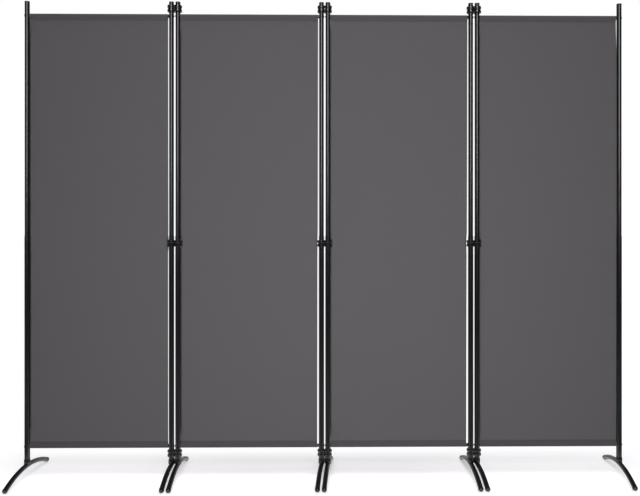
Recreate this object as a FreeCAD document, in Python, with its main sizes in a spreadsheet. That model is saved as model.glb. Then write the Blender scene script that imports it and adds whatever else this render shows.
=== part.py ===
import FreeCAD, Part
import os

import Sketcher

# Folding screen of four fabric panels, standing in one line with every joint straight.
# The origin is on the floor, midway along the screen, in the plane of the poles.
# X runs along the screen, -Y is the front, Z is up. Sizes are in millimetres and degrees.

DRIVING_SIZES = {
    # Overall
    "screen_height": (1803.0, "floor to the top of the pole caps"),
    "pole_spacing": (545.5, "between the two pole axes of one panel"),
    # Poles: the upper tube slips into the lower one and stands on a rolled bead
    "lower_tube_diameter": (20.0, "outside of the lower poles"),
    "tube_wall": (0.9, "wall of both pole tubes"),
    "slip_clearance": (0.1, "radial, upper tube and foot spigot in the lower tube"),
    "pole_joint_height": (912.0, "floor to the upper end of the lower tubes"),
    "tube_overlap": (60.0, "length of upper tube inside the lower tube"),
    "bead_height": (3.0, "rolled stop bead, along the pole"),
    "bead_depth": (0.8, "how far the bead is pressed in"),
    # Pole caps
    "cap_head_height": (3.6, "domed head above the tube's end"),
    "cap_rim_height": (1.2, "upright edge of the head"),
    "cap_overhang": (0.4, "head beyond the tube, radial"),
    "cap_stem_length": (14.0, "stem inside the tube"),
    "plug_clearance": (0.05, "radial, plugs and inserts in their tubes"),
    # Rails and their fastenings
    "rail_diameter": (12.0, "outside of the rails"),
    "rail_wall": (1.0, "wall of the rails"),
    "rail_end_clearance": (0.1, "coped end to the pole, radial from the pole"),
    "top_rail_drop": (15.0, "underside of the top clips to the top rail's axis"),
    "bottom_rail_rise": (15.0, "top of the bottom clips to the bottom rail's axis"),
    "insert_length": (20.0, "threaded plug in a rail's end"),
    "insert_setback": (1.0, "pole surface to the plug's outer face"),
    "screw_diameter": (5.0, "shank of the rail screws"),
    "screw_hole_clearance": (0.2, "radial, shank in the pole's holes"),
    "screw_head_diameter": (8.5, "round head"),
    "screw_head_height": (1.8, "round head"),
    "screw_head_edge": (0.7, "upright edge of the head"),
    "screw_head_gap": (1.0, "between the two facing heads of paired poles"),
    # Hinge clips
    "clip_height": (25.0, "along the poles"),
    "clip_wall": (5.2, "rim outside the bore for a lower tube"),
    "clip_groove_height": (9.0, "mouth of the groove between the two rims"),
    "clip_waist_height": (3.0, "bottom of the groove"),
    "clip_groove_depth": (2.2, "groove below the rims"),
    "clip_rounding": (2.4, "rounded edges of the rims"),
    "clip_web_thickness": (15.0, "web between the rings, front to back"),
    "clip_web_height": (20.0, "web between the rings, along the poles"),
    "pivot_clearance": (0.1, "radial, pole in clip"),
    "top_clip_drop": (11.4, "upper tube's end to the top of the top clip"),
    "middle_clip_drop": (15.5, "lower tube's end to the top of the middle clip"),
    "bottom_clip_rise": (7.6, "foot collar to the underside of the bottom clip"),
    # Fabric
    "cloth_thickness": (0.8, "one layer"),
    "sleeve_clearance": (0.3, "radial, rail in its sleeve"),
    "hem_depth": (24.0, "edge of the fabric to the sleeve's seam"),
    "cloth_pole_gap": (0.3, "lower tube to a fabric edge that lies close to it"),
    "cloth_clip_gap": (1.5, "reach of the clips to a fabric edge that keeps clear of them"),
    "cloth_relief_gap": (1.0, "middle clip to the fabric cut back round it"),
    # Feet
    "foot_span": (329.0, "between the centres of the arch's two ends"),
    "foot_rise": (33.0, "arch's centre line, ends to crown"),
    "foot_tube_diameter": (18.0, "outside of the arch"),
    "foot_tube_wall": (1.2, "wall of the arch"),
    "collar_rise": (23.7, "arch's centre line to the pole's seat"),
    "collar_drop": (4.0, "arch's centre line up to the collar's lower edge"),
    "collar_band": (10.0, "upright part of the collar"),
    "collar_lip": (0.6, "collar's upper edge beyond the pole, radial"),
    "collar_gap": (0.6, "between the collars of two paired poles"),
    "spigot_wall": (1.5, "wall of the spigot"),
    "spigot_chamfer": (1.0, "lead at the spigot's end"),
    "spigot_screw_gap": (10.0, "spigot's end to the bottom rail's axis"),
    # Foot tips
    "tip_overhang": (0.6, "tip beyond the arch's tube, radial"),
    "tip_edge_length": (3.0, "straight edge of the tip before its dome"),
    "tip_plug_length": (12.0, "plug inside the arch's end"),
    "tip_plug_taper": (0.4, "plug's inner end slimmer than its outer end, radial"),
    "tip_flat_depth": (0.5, "flat cut off the dome where it meets the floor"),
    # Feet as they stand, turned from square; positive brings the front end to the right
    "foot_angle_left_end": (-1.8, "first foot"),
    "foot_angle_first_joint": (0.2, "both feet between panels 1 and 2"),
    "foot_angle_second_joint": (-5.8, "both feet between panels 2 and 3"),
    "foot_angle_third_joint": (-1.5, "both feet between panels 3 and 4"),
    "foot_angle_right_end": (-7.3, "last foot"),
}

PANEL_COUNT = 4

# The two sides of a panel: name, way outward along X, and turn that faces the same way inward
SIDES = (("left", "-1", "0"), ("right", "1", "180"))

# Sizes that follow from the driving ones, as expressions
LOWER_RADIUS = "(Sizes.lower_tube_diameter / 2)"
LOWER_BORE_RADIUS = f"({LOWER_RADIUS} - Sizes.tube_wall)"
UPPER_RADIUS = f"({LOWER_BORE_RADIUS} - Sizes.slip_clearance)"
UPPER_BORE_RADIUS = f"({UPPER_RADIUS} - Sizes.tube_wall)"
RAIL_RADIUS = "(Sizes.rail_diameter / 2)"
RAIL_BORE_RADIUS = f"({RAIL_RADIUS} - Sizes.rail_wall)"
SCREW_RADIUS = "(Sizes.screw_diameter / 2)"
FOOT_RADIUS = "(Sizes.foot_tube_diameter / 2)"
PAIR_PITCH = "(Sizes.lower_tube_diameter + 2 * Sizes.screw_head_height + Sizes.screw_head_gap)"
PANEL_PITCH = f"(Sizes.pole_spacing + {PAIR_PITCH})"
HALF_SPACING = "(Sizes.pole_spacing / 2)"
HALF_PITCH = f"({PAIR_PITCH} / 2)"
CLIP_RADIUS = f"({LOWER_RADIUS} + Sizes.pivot_clearance + Sizes.clip_wall)"

# The arch is part of a circle, and its ends slope down to the tips
ARCH_RADIUS = "(((Sizes.foot_span / 2)^2 + Sizes.foot_rise^2) / (2 * Sizes.foot_rise))"
END_SLOPE = "(2 * atan(2 * Sizes.foot_rise / Sizes.foot_span))"
TIP_RADIUS = f"({FOOT_RADIUS} + Sizes.tip_overhang)"
END_HEIGHT = f"({TIP_RADIUS} + Sizes.tip_edge_length * sin({END_SLOPE}) - Sizes.tip_flat_depth)"
ARCH_HEIGHT = f"({END_HEIGHT} + Sizes.foot_rise)"
COLLAR_RADIUS = f"({HALF_PITCH} - Sizes.collar_gap / 2)"

# Heights above the floor, of the clips' and rails' middles
SEAT_HEIGHT = f"({ARCH_HEIGHT} + Sizes.collar_rise)"
POLE_TOP = "(Sizes.screen_height - Sizes.cap_head_height)"
UPPER_TUBE_FOOT = "(Sizes.pole_joint_height - Sizes.tube_overlap)"
BOTTOM_CLIP_HEIGHT = f"({SEAT_HEIGHT} + Sizes.bottom_clip_rise + Sizes.clip_height / 2)"
MIDDLE_CLIP_HEIGHT = "(Sizes.pole_joint_height - Sizes.middle_clip_drop - Sizes.clip_height / 2)"
TOP_CLIP_HEIGHT = f"({POLE_TOP} - Sizes.top_clip_drop - Sizes.clip_height / 2)"
BOTTOM_RAIL_HEIGHT = f"({BOTTOM_CLIP_HEIGHT} + Sizes.clip_height / 2 + Sizes.bottom_rail_rise)"
TOP_RAIL_HEIGHT = f"({TOP_CLIP_HEIGHT} - Sizes.clip_height / 2 - Sizes.top_rail_drop)"

doc = FreeCAD.newDocument("FoldingScreen")


def fill_sheet():
    """Put every driving size in the spreadsheet, under its alias."""
    sheet = doc.addObject("Spreadsheet::Sheet", "Sizes")
    for row, (alias, (value, meaning)) in enumerate(DRIVING_SIZES.items(), start=1):
        sheet.set(f"A{row}", alias)
        sheet.set(f"B{row}", str(value))
        sheet.set(f"C{row}", meaning)
        sheet.setAlias(f"B{row}", alias)
    doc.recompute()
    return sheet


sizes = fill_sheet()


def size(text):
    """The present value of an expression, as a plain number."""
    value = sizes.evalExpression(text.replace("Sizes.", ""))
    return float(getattr(value, "Value", value))


# Sketches


def new_sketch(body, name, role, shift=("0", "0", "0"), turn="0"):
    """A sketch on one of the body's origin planes, shifted and turned in that plane."""
    sketch = body.newObject("Sketcher::SketchObject", name)
    plane = next(each for each in body.Origin.OriginFeatures if each.Role == role)
    sketch.AttachmentSupport = [(plane, "")]
    sketch.MapMode = "FlatFace"
    for axis, text in zip("xyz", shift):
        sketch.setExpression(f"AttachmentOffset.Base.{axis}", text)
    sketch.setExpression("AttachmentOffset.Rotation.Angle", turn)
    return sketch


def bind(sketch, constraint, text):
    """Add a sized constraint and tie it to an expression."""
    index = sketch.addConstraint(constraint)
    sketch.setExpression(f"Constraints[{index}]", text)


def locate(sketch, geometry, end, place):
    """Tie one point of a sketch to its two coordinates."""
    for kind, axis_line, text in zip(("DistanceX", "DistanceY"), (-2, -1), place):
        if text == "0":
            sketch.addConstraint(Sketcher.Constraint("PointOnObject", geometry, end, axis_line))
        else:
            sized = Sketcher.Constraint(kind, -1, 1, geometry, end, size(text))
            bind(sketch, sized, text)


def draw_circle(sketch, radius, place=("0", "0")):
    """A circle of bound radius and centre."""
    centre = FreeCAD.Vector(size(place[0]), size(place[1]), 0)
    circle = Part.Circle(centre, FreeCAD.Vector(0, 0, 1), size(radius))
    index = sketch.addGeometry(circle, False)
    locate(sketch, index, 3, place)
    bind(sketch, Sketcher.Constraint("Radius", index, size(radius)), radius)


def arc_between(start, end, radius, bulge):
    """The lesser arc from start to end; it bulges to the right of that way, or to the left."""
    chord = end - start
    middle = (start + end) / 2
    left = FreeCAD.Vector(-chord.y, chord.x, 0).normalize()
    towards_centre = left if bulge == "right" else left * -1
    height = max(radius**2 - (chord.Length / 2) ** 2, 0.0) ** 0.5
    crown = middle + towards_centre * (height - radius)
    return Part.ArcOfCircle(start, crown, end)


def draw_outline(sketch, corners):
    """A closed outline through bound corners.

    A corner is (x, y) where a straight edge follows it, or (x, y, radius, bulge) where
    an arc does. The bulge is the side of the way from corner to corner that it swells to.
    """
    points = [FreeCAD.Vector(size(corner[0]), size(corner[1]), 0) for corner in corners]
    starts = []
    ends = []
    for corner, start, end in zip(corners, points, points[1:] + points[:1]):
        if len(corner) == 2:
            index = sketch.addGeometry(Part.LineSegment(start, end), False)
            starts.append((index, 1))
            ends.append((index, 2))
            continue
        index = sketch.addGeometry(arc_between(start, end, size(corner[2]), corner[3]), False)
        first = sketch.getPoint(index, 1)
        arc_starts_here = first.distanceToPoint(start) < first.distanceToPoint(end)
        starts.append((index, 1 if arc_starts_here else 2))
        ends.append((index, 2 if arc_starts_here else 1))
        bind(sketch, Sketcher.Constraint("Radius", index, size(corner[2])), corner[2])
    for corner, start, end_before in zip(corners, starts, ends[-1:] + ends[:-1]):
        sketch.addConstraint(Sketcher.Constraint("Coincident", *end_before, *start))
        locate(sketch, *start, corner[:2])


# Features


def pad(body, name, sketch, length, symmetric=False):
    """Raise a sketch to a bound length."""
    feature = body.newObject("PartDesign::Pad", name)
    feature.Profile = sketch
    feature.SideType = "Symmetric" if symmetric else "One side"
    feature.setExpression("Length", length)
    return feature


def pocket_through(body, name, sketch):
    """Cut a sketch right through the body, both ways."""
    feature = body.newObject("PartDesign::Pocket", name)
    feature.Profile = sketch
    feature.SideType = "Two sides"
    feature.Type = "ThroughAll"
    feature.Type2 = "ThroughAll"
    return feature


def turn_profile(body, name, sketch, axis, cut=False, angle="360"):
    """Turn a sketch about one of its own axes, to add a solid or to cut one away."""
    feature = body.newObject("PartDesign::Groove" if cut else "PartDesign::Revolution", name)
    feature.Profile = sketch
    feature.ReferenceAxis = (sketch, [axis])
    feature.Midplane = True
    feature.setExpression("Angle", angle)
    return feature


def new_body(name):
    """An empty body."""
    return doc.addObject("PartDesign::Body", name)


def place(label, sources, shift=("0", "0", "0"), turn="0"):
    """One sub-part: copies of the sources, set down at a bound place and turn about Z."""
    part = doc.addObject("Part::Compound", label)
    part.Label = label
    part.Links = sources
    for axis, text in zip("xyz", shift):
        part.setExpression(f"Placement.Base.{axis}", text)
    part.setExpression("Placement.Rotation.Angle", turn)
    return part


# Pieces, each made once about its own origin


def make_tube(name, outer_radius, bore_radius, length, hole_height):
    """A pole tube standing on its own origin, drilled along X for a rail screw."""
    body = new_body(name)
    section = new_sketch(body, f"{name}_section", "XY_Plane")
    draw_circle(section, outer_radius)
    draw_circle(section, bore_radius)
    pad(body, f"{name}_length", section, length)
    hole = new_sketch(body, f"{name}_hole", "YZ_Plane")
    draw_circle(hole, f"{SCREW_RADIUS} + Sizes.screw_hole_clearance", ("0", hole_height))
    pocket_through(body, f"{name}_drilling", hole)
    return body


def make_upper_tube():
    """The thinner tube, from its seat inside the lower tube to the cap."""
    return make_tube(
        "upper_tube",
        UPPER_RADIUS,
        UPPER_BORE_RADIUS,
        f"{POLE_TOP} - {UPPER_TUBE_FOOT}",
        f"{TOP_RAIL_HEIGHT} - {UPPER_TUBE_FOOT}",
    )


def make_lower_tube():
    """The thicker tube, with the rolled bead that the upper tube stands on."""
    body = make_tube(
        "lower_tube",
        LOWER_RADIUS,
        LOWER_BORE_RADIUS,
        f"Sizes.pole_joint_height - {SEAT_HEIGHT}",
        f"{BOTTOM_RAIL_HEIGHT} - {SEAT_HEIGHT}",
    )
    bead_radius = "((Sizes.bead_height / 2)^2 + Sizes.bead_depth^2) / (2 * Sizes.bead_depth)"
    bead_top = f"{UPPER_TUBE_FOOT} - {SEAT_HEIGHT}"
    bead_foot = f"{bead_top} - Sizes.bead_height"
    ridge = new_sketch(body, "bead_ridge", "XZ_Plane")
    draw_outline(
        ridge,
        [(LOWER_BORE_RADIUS, bead_top, bead_radius, "right"), (LOWER_BORE_RADIUS, bead_foot)],
    )
    turn_profile(body, "bead_inside", ridge, "V_Axis")
    furrow = new_sketch(body, "bead_furrow", "XZ_Plane")
    draw_outline(
        furrow,
        [(LOWER_RADIUS, bead_top, bead_radius, "right"), (LOWER_RADIUS, bead_foot)],
    )
    turn_profile(body, "bead_outside", furrow, "V_Axis", cut=True)
    return body


def make_pole_cap():
    """A plug with a low domed head, standing on the tube's end at its own origin."""
    body = new_body("pole_cap")
    head_radius = f"({UPPER_RADIUS} + Sizes.cap_overhang)"
    stem_radius = f"({UPPER_BORE_RADIUS} - Sizes.plug_clearance)"
    dome_height = "(Sizes.cap_head_height - Sizes.cap_rim_height)"
    dome_radius = f"({head_radius}^2 + {dome_height}^2) / (2 * {dome_height})"
    profile = new_sketch(body, "cap_profile", "XZ_Plane")
    draw_outline(
        profile,
        [
            ("0", "-Sizes.cap_stem_length"),
            (stem_radius, "-Sizes.cap_stem_length"),
            (stem_radius, "0"),
            (head_radius, "0"),
            (head_radius, "Sizes.cap_rim_height", dome_radius, "right"),
            ("0", "Sizes.cap_head_height"),
        ],
    )
    turn_profile(body, "cap_turning", profile, "V_Axis")
    return body


def make_rail(name, pole_radius):
    """A rail along X about its own origin, its two ends coped to the poles."""
    body = new_body(name)
    section = new_sketch(body, f"{name}_section", "YZ_Plane")
    draw_circle(section, RAIL_RADIUS)
    draw_circle(section, RAIL_BORE_RADIUS)
    pad(body, f"{name}_length", section, "Sizes.pole_spacing", symmetric=True)
    cope = new_sketch(body, f"{name}_cope", "XY_Plane")
    for end in (f"-{HALF_SPACING}", HALF_SPACING):
        draw_circle(cope, f"{pole_radius} + Sizes.rail_end_clearance", (end, "0"))
    pocket_through(body, f"{name}_coping", cope)
    return body


def make_rail_insert():
    """A threaded plug along +X from its outer face at its own origin."""
    body = new_body("rail_insert")
    section = new_sketch(body, "insert_section", "YZ_Plane")
    draw_circle(section, f"{RAIL_BORE_RADIUS} - Sizes.plug_clearance")
    draw_circle(section, f"{SCREW_RADIUS} + Sizes.plug_clearance")
    pad(body, "insert_length", section, "Sizes.insert_length")
    return body


def make_rail_screw():
    """A round-headed screw along +X, its head seated at its own origin."""
    body = new_body("rail_screw")
    head_radius = "Sizes.screw_head_diameter / 2"
    dome_height = "(Sizes.screw_head_height - Sizes.screw_head_edge)"
    dome_radius = f"(({head_radius})^2 + {dome_height}^2) / (2 * {dome_height})"
    shank_length = "Sizes.lower_tube_diameter + Sizes.insert_setback + Sizes.insert_length"
    profile = new_sketch(body, "screw_profile", "XZ_Plane")
    draw_outline(
        profile,
        [
            ("-Sizes.screw_head_height", "0"),
            (shank_length, "0"),
            (shank_length, SCREW_RADIUS),
            ("0", SCREW_RADIUS),
            ("0", head_radius),
            ("-Sizes.screw_head_edge", head_radius, dome_radius, "right"),
        ],
    )
    turn_profile(body, "screw_turning", profile, "H_Axis")
    return body


def make_hinge_clip(name, pole_radius):
    """A figure-eight of two ringed bores joined by a web, about its own origin."""
    body = new_body(name)
    half_height = "Sizes.clip_height / 2"
    half_groove = "Sizes.clip_groove_height / 2"
    half_waist = "Sizes.clip_waist_height / 2"
    rounding = "Sizes.clip_rounding"
    groove_radius = f"({CLIP_RADIUS} - Sizes.clip_groove_depth)"
    flat_radius = f"({CLIP_RADIUS} - {rounding})"
    ring = new_sketch(body, f"{name}_ring", "XZ_Plane", (HALF_PITCH, "0", "0"))
    draw_outline(
        ring,
        [
            ("0", f"-{half_height}"),
            (flat_radius, f"-{half_height}", rounding, "right"),
            (CLIP_RADIUS, f"-{half_height} + {rounding}"),
            (CLIP_RADIUS, f"-{half_groove}"),
            (groove_radius, f"-{half_waist}"),
            (groove_radius, half_waist),
            (CLIP_RADIUS, half_groove),
            (CLIP_RADIUS, f"{half_height} - {rounding}", rounding, "right"),
            (flat_radius, half_height),
            ("0", half_height),
        ],
    )
    turned = turn_profile(body, f"{name}_turning", ring, "V_Axis")
    both = body.newObject("PartDesign::Mirrored", f"{name}_both")
    both.Originals = [turned]
    plane = next(each for each in body.Origin.OriginFeatures if each.Role == "YZ_Plane")
    both.MirrorPlane = (plane, [""])
    body.Tip = both
    web = new_sketch(body, f"{name}_web", "XY_Plane")
    half_web = "Sizes.clip_web_thickness / 2"
    draw_outline(
        web,
        [
            (f"-{HALF_PITCH}", f"-{half_web}"),
            (HALF_PITCH, f"-{half_web}"),
            (HALF_PITCH, half_web),
            (f"-{HALF_PITCH}", half_web),
        ],
    )
    pad(body, f"{name}_bridge", web, "Sizes.clip_web_height", symmetric=True)
    bores = new_sketch(body, f"{name}_bores", "XY_Plane")
    for side in (f"-{HALF_PITCH}", HALF_PITCH):
        draw_circle(bores, f"{pole_radius} + Sizes.pivot_clearance", (side, "0"))
    pocket_through(body, f"{name}_boring", bores)
    return body


def draw_sleeve(sketch, rail_height, radius, seam_reach, up):
    """A drop-shaped sleeve section: round over the rail, drawn to a point at the seam."""
    lean = f"asin({radius} / {seam_reach})"
    half_width = f"({radius} * cos({lean}))"
    to_seam, to_crown = ("-", "+") if up else ("+", "-")
    shoulder = f"{rail_height} {to_seam} {radius} * sin({lean})"
    bulge = "left" if up else "right"
    draw_outline(
        sketch,
        [
            ("0", f"{rail_height} {to_seam} {seam_reach}"),
            (f"-{half_width}", shoulder, radius, bulge),
            ("0", f"{rail_height} {to_crown} {radius}", radius, bulge),
            (half_width, shoulder),
        ],
    )


def make_fabric(name, clip_at_left, clip_at_right):
    """The cloth of one panel about the panel's middle, with a sleeve at each rail.

    Its left edge is cut back round a clip, and its right edge keeps clear of clips along its whole height.
    """
    body = new_body(name)
    by_pole = f"{LOWER_RADIUS} + Sizes.cloth_pole_gap"
    by_clip = f"{CLIP_RADIUS} + Sizes.cloth_clip_gap"
    left_edge = f"-{HALF_SPACING} + {by_pole}"
    right_edge = f"{HALF_SPACING} - ({by_clip if clip_at_right else by_pole})"
    width = f"{right_edge} - ({left_edge})"
    inner_radius = f"({RAIL_RADIUS} + Sizes.sleeve_clearance)"
    outer_radius = f"({inner_radius} + Sizes.cloth_thickness)"
    inner_reach = f"(Sizes.hem_depth - {outer_radius})"
    outer_reach = f"({inner_reach} * {outer_radius} / {inner_radius})"
    from_left = ("0", "0", left_edge)
    sheet = new_sketch(body, f"{name}_sheet", "YZ_Plane", from_left)
    half_cloth = "Sizes.cloth_thickness / 2"
    lower_end = f"{BOTTOM_RAIL_HEIGHT} + {inner_reach}"
    upper_end = f"{TOP_RAIL_HEIGHT} - {inner_reach}"
    draw_outline(
        sheet,
        [
            (f"-{half_cloth}", lower_end),
            (half_cloth, lower_end),
            (half_cloth, upper_end),
            (f"-{half_cloth}", upper_end),
        ],
    )
    pad(body, f"{name}_cloth", sheet, width)
    sleeves = new_sketch(body, f"{name}_sleeves", "YZ_Plane", from_left)
    draw_sleeve(sleeves, TOP_RAIL_HEIGHT, outer_radius, outer_reach, up=True)
    draw_sleeve(sleeves, BOTTOM_RAIL_HEIGHT, outer_radius, outer_reach, up=False)
    pad(body, f"{name}_hems", sleeves, width)
    openings = new_sketch(body, f"{name}_openings", "YZ_Plane", from_left)
    draw_sleeve(openings, TOP_RAIL_HEIGHT, inner_radius, inner_reach, up=True)
    draw_sleeve(openings, BOTTOM_RAIL_HEIGHT, inner_radius, inner_reach, up=False)
    pocket_through(body, f"{name}_rail_ways", openings)
    if clip_at_left:
        cut_clip_relief(body, name)
    return body


def cut_clip_relief(body, name):
    """Cut the cloth's left edge back round the middle clip."""
    relief = new_sketch(body, f"{name}_relief", "XZ_Plane")
    pole = f"-{HALF_SPACING}"
    reach = f"{pole} + {CLIP_RADIUS} + Sizes.cloth_relief_gap"
    half_height = "(Sizes.clip_height / 2 + Sizes.cloth_relief_gap)"
    low = f"{MIDDLE_CLIP_HEIGHT} - {half_height}"
    high = f"{MIDDLE_CLIP_HEIGHT} + {half_height}"
    draw_outline(relief, [(pole, low), (reach, low), (reach, high), (pole, high)])
    pocket_through(body, f"{name}_clip_relief", relief)


def make_foot():
    """An arched tube along Y on the floor, with the collar and spigot for its pole."""
    body = new_body("foot")
    arch_angle = f"2 * {END_SLOPE}"
    below_crown = ("0", f"{ARCH_HEIGHT} - {ARCH_RADIUS}", "0")
    arch = new_sketch(body, "arch_section", "XZ_Plane", below_crown)
    draw_circle(arch, FOOT_RADIUS, ("0", ARCH_RADIUS))
    turn_profile(body, "arch_bend", arch, "H_Axis", angle=arch_angle)
    spigot_radius = UPPER_RADIUS
    spigot_end = f"({BOTTOM_RAIL_HEIGHT} - Sizes.spigot_screw_gap)"
    collar_foot = f"{ARCH_HEIGHT} + Sizes.collar_drop"
    post = new_sketch(body, "post_profile", "XZ_Plane")
    draw_outline(
        post,
        [
            ("0", collar_foot),
            (COLLAR_RADIUS, collar_foot),
            (COLLAR_RADIUS, f"{collar_foot} + Sizes.collar_band"),
            (f"{LOWER_RADIUS} + Sizes.collar_lip", SEAT_HEIGHT),
            (spigot_radius, SEAT_HEIGHT),
            (spigot_radius, f"{spigot_end} - Sizes.spigot_chamfer"),
            (f"{spigot_radius} - Sizes.spigot_chamfer", spigot_end),
            ("0", spigot_end),
        ],
    )
    turn_profile(body, "post_turning", post, "V_Axis")
    arch_bore = new_sketch(body, "arch_bore_section", "XZ_Plane", below_crown)
    draw_circle(arch_bore, f"{FOOT_RADIUS} - Sizes.foot_tube_wall", ("0", ARCH_RADIUS))
    turn_profile(body, "arch_bore", arch_bore, "H_Axis", cut=True, angle=arch_angle)
    spigot_bore = new_sketch(body, "spigot_bore_profile", "XZ_Plane")
    bore_radius = f"{spigot_radius} - Sizes.spigot_wall"
    crown = f"{ARCH_HEIGHT} + {FOOT_RADIUS}"
    draw_outline(
        spigot_bore,
        [("0", crown), (bore_radius, crown), (bore_radius, spigot_end), ("0", spigot_end)],
    )
    turn_profile(body, "spigot_bore", spigot_bore, "V_Axis", cut=True)
    return body


def make_foot_tips():
    """The two plugs in the arch's ends, each with a domed head cut flat on the floor."""
    body = new_body("foot_tips")
    at_end = ("Sizes.foot_span / 2", END_HEIGHT, "0")
    plug_radius = f"{FOOT_RADIUS} - Sizes.foot_tube_wall - Sizes.plug_clearance"
    profile = new_sketch(body, "tip_profile", "YZ_Plane", at_end, f"-{END_SLOPE}")
    draw_outline(
        profile,
        [
            ("-Sizes.tip_plug_length", "0"),
            (f"Sizes.tip_edge_length + {TIP_RADIUS}", "0", TIP_RADIUS, "right"),
            ("Sizes.tip_edge_length", TIP_RADIUS),
            ("0", TIP_RADIUS),
            ("0", plug_radius),
            ("-Sizes.tip_plug_length", f"{plug_radius} - Sizes.tip_plug_taper"),
        ],
    )
    turned = turn_profile(body, "tip_turning", profile, "H_Axis")
    below = new_sketch(body, "floor_section", "XZ_Plane")
    draw_outline(
        below,
        [
            (f"-{TIP_RADIUS}", "0"),
            (f"-{TIP_RADIUS}", f"-{TIP_RADIUS}"),
            (TIP_RADIUS, f"-{TIP_RADIUS}"),
            (TIP_RADIUS, "0"),
        ],
    )
    flat = pocket_through(body, "floor_flat", below)
    both = body.newObject("PartDesign::Mirrored", "front_and_back")
    both.Originals = [turned, flat]
    plane = next(each for each in body.Origin.OriginFeatures if each.Role == "XZ_Plane")
    both.MirrorPlane = (plane, [""])
    body.Tip = both
    return body


# The screen


def build_panels():
    """Every panel's frame, fabric and fastenings, from left to right."""
    lower_tube = make_lower_tube()
    upper_tube = make_upper_tube()
    cap = make_pole_cap()
    rails = {
        "top_rail": (make_rail("top_rail_piece", UPPER_RADIUS), TOP_RAIL_HEIGHT, UPPER_RADIUS),
        "bottom_rail": (make_rail("bottom_rail_piece", LOWER_RADIUS), BOTTOM_RAIL_HEIGHT, LOWER_RADIUS),
    }
    insert = make_rail_insert()
    screw = make_rail_screw()
    first_fabric = make_fabric("first_fabric", clip_at_left=False, clip_at_right=True)
    inner_fabric = make_fabric("inner_fabric", clip_at_left=True, clip_at_right=True)
    last_fabric = make_fabric("last_fabric", clip_at_left=True, clip_at_right=False)
    fabrics = [first_fabric] + [inner_fabric] * (PANEL_COUNT - 2) + [last_fabric]
    cap_set = []
    screw_set = []
    insert_set = []
    for side, outward, turn in SIDES:
        cap_set.append(place(f"cap_{side}", [cap], (f"{outward} * {HALF_SPACING}", "0", POLE_TOP)))
        for level, (_, height, pole_radius) in rails.items():
            seat = f"{outward} * ({HALF_SPACING} + {pole_radius})"
            screw_set.append(place(f"screw_{level}_{side}", [screw], (seat, "0", height), turn))
            face = f"{outward} * ({HALF_SPACING} - {pole_radius} - Sizes.insert_setback)"
            insert_set.append(place(f"insert_{level}_{side}", [insert], (face, "0", height), turn))
    parts = []
    for panel in range(1, PANEL_COUNT + 1):
        middle = f"{PANEL_PITCH} * {panel - (PANEL_COUNT + 1) / 2}"
        for side, outward, _ in SIDES:
            pole = f"{middle} + {outward} * {HALF_SPACING}"
            name = f"panel_{panel}_{side}"
            parts.append(place(f"{name}_lower_pole", [lower_tube], (pole, "0", SEAT_HEIGHT)))
            parts.append(place(f"{name}_upper_pole", [upper_tube], (pole, "0", UPPER_TUBE_FOOT)))
        for level, (rail, height, _) in rails.items():
            parts.append(place(f"panel_{panel}_{level}", [rail], (middle, "0", height)))
        parts.append(place(f"panel_{panel}_fabric", [fabrics[panel - 1]], (middle, "0", "0")))
        parts.append(place(f"panel_{panel}_pole_caps", cap_set, (middle, "0", "0")))
        parts.append(place(f"panel_{panel}_rail_screws", screw_set, (middle, "0", "0")))
        parts.append(place(f"panel_{panel}_rail_inserts", insert_set, (middle, "0", "0")))
    return parts


def build_clips():
    """Three clips on each pair of poles, the top one bored for the upper tubes."""
    wide = make_hinge_clip("clip_for_lower_poles", LOWER_RADIUS)
    narrow = make_hinge_clip("clip_for_upper_poles", UPPER_RADIUS)
    clip_set = [
        place("clip_bottom", [wide], ("0", "0", BOTTOM_CLIP_HEIGHT)),
        place("clip_middle", [wide], ("0", "0", MIDDLE_CLIP_HEIGHT)),
        place("clip_top", [narrow], ("0", "0", TOP_CLIP_HEIGHT)),
    ]
    parts = []
    for panel in range(1, PANEL_COUNT):
        middle = f"{PANEL_PITCH} * {panel - PANEL_COUNT / 2}"
        parts.append(place(f"hinge_clips_{panel}_{panel + 1}", clip_set, (middle, "0", "0")))
    return parts


def build_feet():
    """One foot and its two tips under each pole, from left to right."""
    foot = make_foot()
    tips = make_foot_tips()
    turns = [
        "Sizes.foot_angle_left_end",
        "Sizes.foot_angle_first_joint",
        "Sizes.foot_angle_second_joint",
        "Sizes.foot_angle_third_joint",
        "Sizes.foot_angle_right_end",
    ]
    parts = []
    for pole in range(2 * PANEL_COUNT):
        middle = f"{PANEL_PITCH} * {pole // 2 - (PANEL_COUNT - 1) / 2}"
        outward = SIDES[pole % 2][1]
        turn = turns[(pole + 1) // 2]
        at_pole = (f"{middle} + {outward} * {HALF_SPACING}", "0", "0")
        parts.append(place(f"foot_{pole + 1}", [foot], at_pole, turn))
        parts.append(place(f"foot_{pole + 1}_tips", [tips], at_pole, turn))
    return parts


def check(parts):
    """Stop if any object failed or any sub-part has no sound shape."""
    for each in doc.Objects:
        if {"Invalid", "Error"} & set(each.State):
            raise RuntimeError(f"{each.Label} failed: {each.State}")
    for part in parts:
        if part.Shape.isNull() or not part.Shape.isValid() or not part.Shape.Solids:
            raise RuntimeError(f"{part.Label} has no sound shape")


def main():
    """Build the screen and write one file for each sub-part."""
    parts = build_panels() + build_clips() + build_feet()
    doc.recompute()
    check(parts)
    os.makedirs("parts", exist_ok=True)
    for part in parts:
        part.Shape.exportStep(os.path.join("parts", f"{part.Label}.step"))
    print(len(parts), "sub-parts,", sum(len(part.Shape.Solids) for part in parts), "solids")


main()
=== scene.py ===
"""Folding screen: cloth, sewing, screws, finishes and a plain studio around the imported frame."""

import functools
import math

import bpy
from bpy.props import FloatProperty, FloatVectorProperty, PointerProperty
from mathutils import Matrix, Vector, noise


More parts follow.
